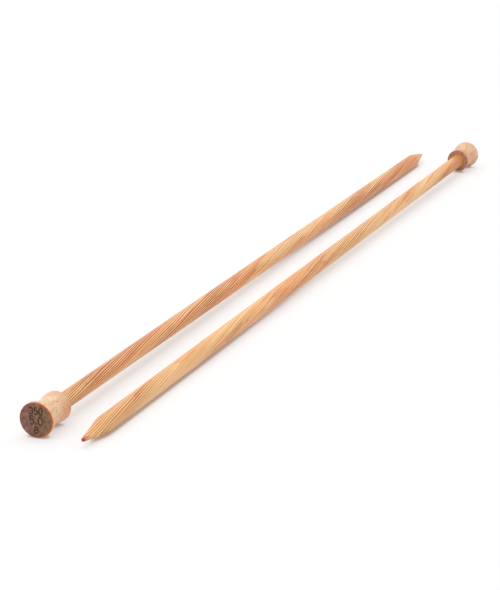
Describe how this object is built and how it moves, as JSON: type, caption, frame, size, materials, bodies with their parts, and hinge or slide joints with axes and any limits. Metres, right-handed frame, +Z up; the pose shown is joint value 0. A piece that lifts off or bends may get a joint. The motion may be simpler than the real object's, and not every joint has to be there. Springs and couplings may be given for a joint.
{
  "type": "straight knitting needles",
  "caption": "Straight wooden knitting needles lying point to knob, each a slim round shaft with a tapered point and a turned end knob.",
  "frame": {"origin": "middle of the pair's footprint, on the surface that the needles lie on", "axes": "+X along the pair, from the end with knob_a and the point of shaft_b to the end with knob_b; +Y towards needle a; +Z up"},
  "size_m": [0.3526, 0.0276, 0.01],
  "materials": {
    "shaft_wood": "twisted laminated hardwood, polished",
    "knob_wood": "turned beech, satin lacquer, dark scorched end face"
  },
  "bodies": {
    "needle_a": {"shaft_a": "shaft_wood", "knob_a": "knob_wood"},
    "needle_b": {"shaft_b": "shaft_wood", "knob_b": "knob_wood"}
  },
  "joints": [
    {"name": "needle_b_lift", "type": "slide", "parent": "needle_a", "child": "needle_b", "axis": [0, 0, 1], "range_m": [0, 0.1]}
  ]
}
